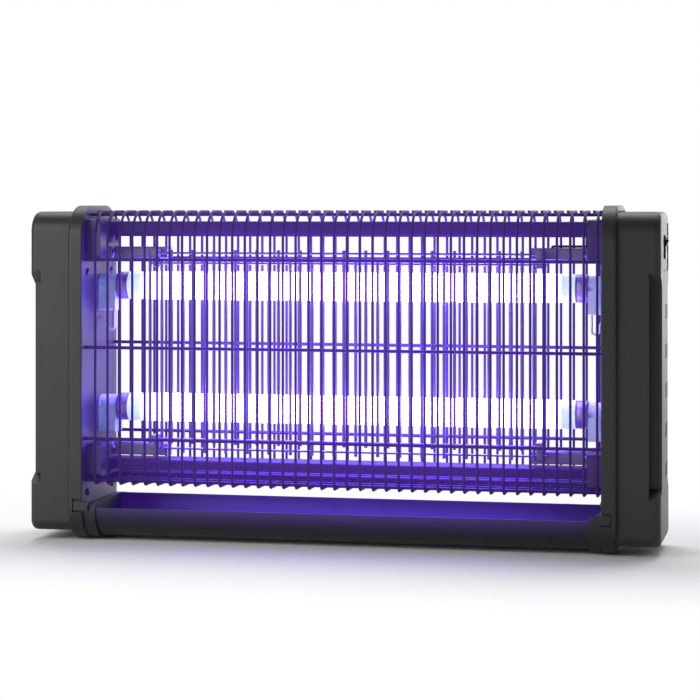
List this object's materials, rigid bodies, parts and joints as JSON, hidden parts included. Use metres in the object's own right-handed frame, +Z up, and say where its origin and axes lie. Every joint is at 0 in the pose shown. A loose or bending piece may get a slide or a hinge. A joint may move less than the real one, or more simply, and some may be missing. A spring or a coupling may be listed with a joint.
{
  "type": "electric bug zapper",
  "caption": "Black electric insect killer: two moulded ends carry a wire guard, ultraviolet tubes, a high-voltage grid and a pull-out catch tray.",
  "frame": {"origin": "on the floor under the feet, midway between the two end caps and midway front to back", "axes": "+X to the right along the tubes, towards the end with the switch; +Y to the rear, so the front with the grid looks along -Y; +Z up"},
  "size_m": [0.5764, 0.105, 0.3055],
  "materials": {
    "abs_black": "fine moulded satin, black",
    "guard_black": "black powder coat",
    "bar_steel": "black powder coat",
    "grid_steel": "bright drawn wire",
    "insulator": "pale glass-filled polyester",
    "holder_white": "white polycarbonate",
    "lamp_glass": "phosphor-coated, lit violet-blue",
    "lamp_cap": "drawn",
    "pin_brass": "plain",
    "tray_steel": "black enamel",
    "tray_end": "fine moulded satin, black",
    "zinc": "zinc-plated",
    "switch_black": "polished black",
    "pad_rubber": "matt",
    "insert_brass": "plain",
    "core_steel": "grey lacquer",
    "starter_white": "white",
    "board_green": "solder-resist green",
    "terminal_white": "natural",
    "lead_white": "PVC sleeving",
    "lead_black": "silicone sleeving"
  },
  "bodies": {
    "housing": {"ballast_screws": "zinc", "bottom_tie_bar": "bar_steel", "cross_harness": "lead_white", "foot_pads": "pad_rubber", "front_guard": "guard_black", "grid_leads": "lead_black", "hanging_inserts": "insert_brass", "holder_leads": "lead_white", "holder_screws": "zinc", "insulator_screws": "zinc", "lead_bush": "switch_black", "left_cap_screws": "zinc", "left_carriers": "abs_black", "left_end_cap": "abs_black", "left_end_frame": "abs_black", "live_grid": "grid_steel", "lower_ballast": "core_steel", "lower_left_holder": "holder_white", "lower_left_insulator": "insulator", "lower_right_holder": "holder_white", "lower_right_insulator": "insulator", "multiplier_board": "board_green", "rear_guard": "guard_black", "return_grid": "grid_steel", "right_cap_screws": "zinc", "right_carriers": "abs_black", "right_end_cap": "abs_black", "right_end_frame": "abs_black", "starter_sockets": "starter_white", "starters": "starter_white", "switch_body": "switch_black", "terminal_block": "terminal_white", "tie_bar_screws": "zinc", "top_tie_bar": "bar_steel", "transformer_screws": "zinc", "upper_ballast": "core_steel", "upper_left_holder": "holder_white", "upper_left_insulator": "insulator", "upper_right_holder": "holder_white", "upper_right_insulator": "insulator", "voltage_transformer": "core_steel"},
    "tray": {"tray_pan": "tray_steel", "tray_left_end": "tray_end", "tray_right_end": "tray_end", "tray_rivets": "zinc"},
    "rocker": {"switch_rocker": "switch_black"},
    "upper_lamp": {"upper_lamp_glass": "lamp_glass", "upper_lamp_caps": "lamp_cap", "upper_lamp_pins": "pin_brass", "upper_lamp_rotors": "holder_white"},
    "lower_lamp": {"lower_lamp_glass": "lamp_glass", "lower_lamp_caps": "lamp_cap", "lower_lamp_pins": "pin_brass", "lower_lamp_rotors": "holder_white"}
  },
  "joints": [
    {"name": "tray_slide", "type": "slide", "parent": "housing", "child": "tray", "axis": [0, -1, 0], "range_m": [0, 0.085]},
    {"name": "switch_rocker_turn", "type": "hinge", "parent": "housing", "child": "rocker", "pos_m": [0.2827, 0.007, 0.269], "axis": [0, -1, 0], "range_deg": [0, 20]},
    {"name": "upper_lamp_twist", "type": "hinge", "parent": "housing", "child": "upper_lamp", "pos_m": [0, 0.007, 0.2315], "axis": [1, 0, 0], "range_deg": [0, 90]},
    {"name": "lower_lamp_twist", "type": "hinge", "parent": "housing", "child": "lower_lamp", "pos_m": [0, 0.007, 0.119], "axis": [1, 0, 0], "range_deg": [0, 90]}
  ]
}
